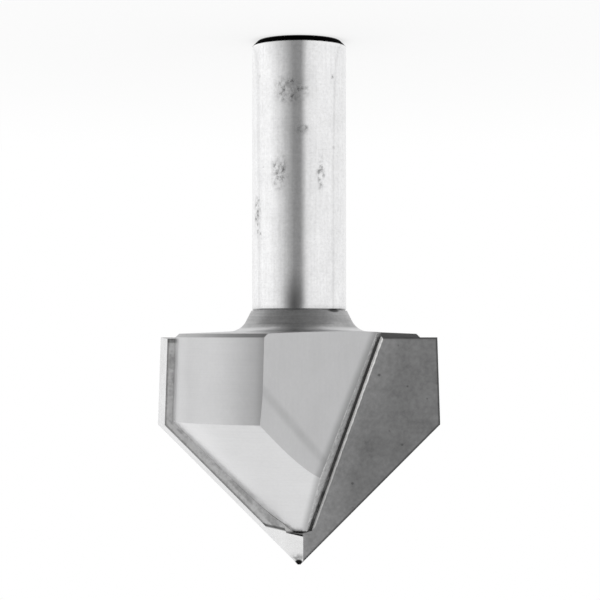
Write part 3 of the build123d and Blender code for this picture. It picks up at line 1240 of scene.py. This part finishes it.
def add_camera(studio):
    """A camera level with the head of the bit, turned over, because the photo shows the bit point down."""
    data = bpy.data.cameras.new("camera")
    data.lens = studio.lens
    data.sensor_width = 36.0
    data.clip_start = 0.01
    data.clip_end = 20.0
    place = (CAMERA_SHIFT, -studio.camera_distance, studio.camera_height)
    camera = turned_to("camera", data, place, (CAMERA_SHIFT, 0.0, studio.aim_height), math.pi)
    bpy.context.scene.camera = camera


class ROUTERBIT_OT_stage(bpy.types.Operator):
    """Set up the floor, the light tent, the lamp and the camera"""

    bl_idname = "routerbit.stage"
    bl_label = "Stage"

    def execute(self, context):
        scene = context.scene
        studio = scene.router_studio
        scene.view_settings.view_transform = "Standard"
        world = bpy.data.worlds.new("light_tent")
        world.use_nodes = True
        world.node_tree.nodes["Background"].inputs["Color"].default_value = rgba(1.0)
        world.node_tree.nodes["Background"].inputs["Strength"].default_value = 1.0
        scene.world = world

        floor = turned_sheet("floor", np.linspace(0.0005, 2.5, 40), np.full(40, -0.01 * MM))
        dress(floor, floor_material(studio.floor))

        # The wall and the roof of the tent, its cloth on the floor, and the shade under the
        # chamfer of the shank. The camera doesn't see them, and they cast no shadow.
        wall_cloth = tent_material("tent_cloth", None, TENT_LEVELS)
        floor_cloth = tent_material("tent_floor_cloth", None, TENT_LEVELS, FLOOR_LEVELS)
        roof_cloth = tent_material("tent_roof_cloth", ROOF_LEVEL)
        shade = tent_material("contact_shade", CONTACT_LEVEL)
        tent = (
            ("tent_wall", (TENT_RADIUS, TENT_RADIUS), (0.0, TENT_HEIGHT), wall_cloth),
            ("tent_floor", (SHADE_RADIUS, TENT_RADIUS), (CLOTH_LIFT, CLOTH_LIFT), floor_cloth),
            ("tent_roof", (0.0005, TENT_RADIUS), (TENT_HEIGHT, TENT_HEIGHT), roof_cloth),
            ("contact_floor", (0.004, SHADE_RADIUS), (CLOTH_LIFT, CLOTH_LIFT), shade),
        )
        for name, radii, heights, material in tent:
            piece = turned_sheet(name, radii, heights)
            dress(piece, material)
            piece.visible_camera = False
            piece.visible_diffuse = False
            piece.visible_shadow = False
        add_top_lamp(studio.top_lamp)
        add_camera(studio)
        return {"FINISHED"}


class ROUTERBIT_PT_panel(bpy.types.Panel):
    """Lists the pieces of the bit and their settings"""

    bl_idname = "ROUTERBIT_PT_panel"
    bl_label = "Router bit"
    bl_space_type = "VIEW_3D"
    bl_region_type = "UI"
    bl_category = "Router bit"

    def draw(self, context):
        for group, operator in STEPS:
            box = self.layout.box()
            box.operator(operator.bl_idname)
            settings = getattr(context.scene, group)
            for name in settings.__annotations__:
                box.prop(settings, name)


SETTINGS = {
    "router_studio": Studio,
    "router_steel": SteelFinish,
    "router_carbide": CarbideFinish,
    "router_braze": BrazeFinish,
}
STEPS = (
    ("router_studio", ROUTERBIT_OT_stage),
    ("router_steel", ROUTERBIT_OT_steel_body),
    ("router_carbide", ROUTERBIT_OT_carbide_inserts),
    ("router_braze", ROUTERBIT_OT_brazing),
)


def register():
    """Registers the settings, the operators and the panel."""
    for name, settings in SETTINGS.items():
        bpy.utils.register_class(settings)
        setattr(bpy.types.Scene, name, PointerProperty(type=settings))
    for _, operator in STEPS:
        bpy.utils.register_class(operator)
    bpy.utils.register_class(ROUTERBIT_PT_panel)


def unregister():
    """Removes the panel, the operators and the settings."""
    bpy.utils.unregister_class(ROUTERBIT_PT_panel)
    for _, operator in reversed(STEPS):
        bpy.utils.unregister_class(operator)
    for name, settings in reversed(SETTINGS.items()):
        delattr(bpy.types.Scene, name)
        bpy.utils.unregister_class(settings)


def main():
    """Builds everything."""
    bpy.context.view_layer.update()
    register()
    bpy.ops.routerbit.stage()
    bpy.ops.routerbit.steel_body()
    bpy.ops.routerbit.carbide_inserts()
    bpy.ops.routerbit.brazing()
    bpy.context.view_layer.update()


if __name__ == "__main__":
    main()
